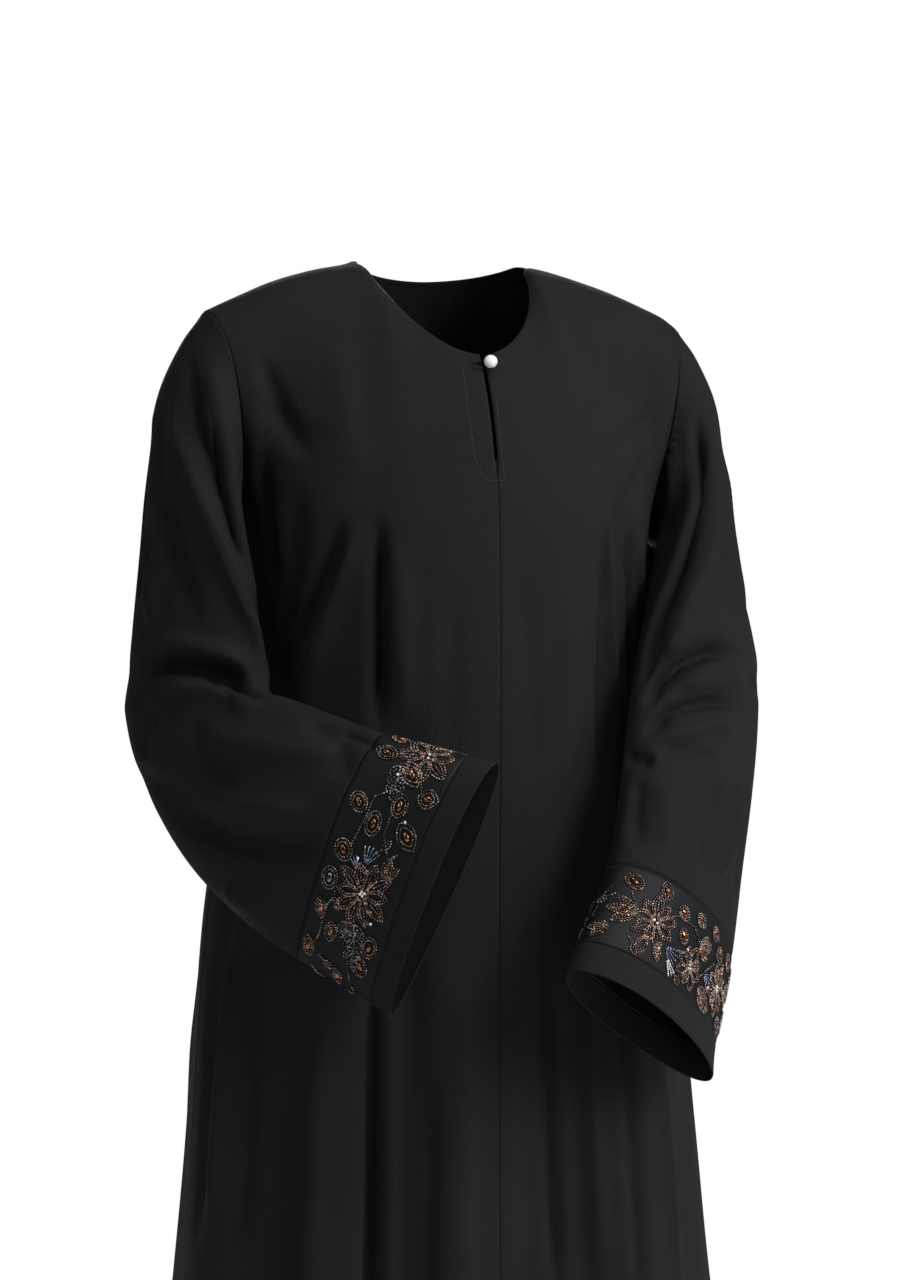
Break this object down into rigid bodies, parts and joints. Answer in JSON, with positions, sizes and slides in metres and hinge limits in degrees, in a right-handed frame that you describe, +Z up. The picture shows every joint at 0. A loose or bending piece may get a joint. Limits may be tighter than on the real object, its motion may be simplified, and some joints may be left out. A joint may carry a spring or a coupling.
{
  "type": "abaya cloak",
  "caption": "Full-length A-line cloak in its worn form, with wide set-in sleeves, beaded cuff bands and a slit neck closed by a pearl and loop.",
  "frame": {"origin": "between the two shoulder-neck points, where the wearer's shoulders hold the garment", "axes": "+Z up, -Y out of the front, +X towards the wearer's left"},
  "size_m": [0.6077, 0.4871, 1.3997],
  "materials": {
    "crepe": "matt black crepe with a fine grain",
    "cuff_satin": "soft grey-black satin ground under the beads",
    "pearl": "glossy pearl",
    "loop_cord": "thin black cord"
  },
  "bodies": {
    "root": {"front_right": "crepe", "front_left": "crepe", "back": "crepe", "sleeve_right": "crepe", "sleeve_left": "crepe", "cuff_band_right": "cuff_satin", "cuff_band_left": "cuff_satin", "cuff_hem_right": "crepe", "cuff_hem_left": "crepe", "slit_facing": "crepe", "button": "pearl", "button_loop": "loop_cord"}
  },
  "joints": []
}
